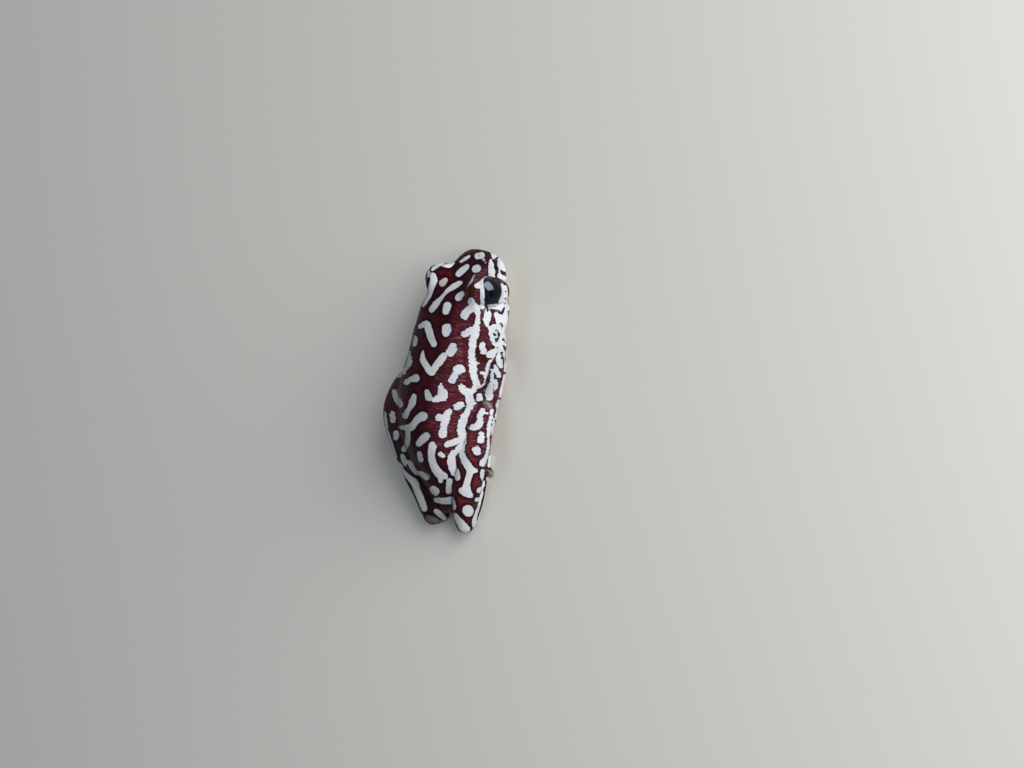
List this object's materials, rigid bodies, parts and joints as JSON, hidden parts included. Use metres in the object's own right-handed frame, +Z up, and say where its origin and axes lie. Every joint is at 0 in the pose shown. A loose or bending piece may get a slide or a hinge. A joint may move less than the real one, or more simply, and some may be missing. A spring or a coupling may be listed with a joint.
{
  "type": "reed frog",
  "caption": "Life-size reed frog at rest with its limbs folded tight against the body, marbled skin, large lidded eyes and round pads on fingers and toes",
  "frame": {"origin": "centre of the bounding box at floor level", "axes": "+Z up, head towards -Y, the frog's right side towards -X"},
  "size_m": [0.0168, 0.0348, 0.0095],
  "materials": {
    "skin": "moist satin skin, dark maroon with off-white marks",
    "eye": "glossy near-black eye"
  },
  "bodies": {
    "root": {"head": "skin", "torso": "skin", "upper_arm_left": "skin", "upper_arm_right": "skin", "forearm_left": "skin", "forearm_right": "skin", "hand_left": "skin", "hand_right": "skin", "thigh_left": "skin", "thigh_right": "skin", "shank_left": "skin", "shank_right": "skin", "tarsus_left": "skin", "tarsus_right": "skin", "foot_left": "skin", "foot_right": "skin", "eye_left": "eye", "eye_right": "eye"}
  },
  "joints": []
}
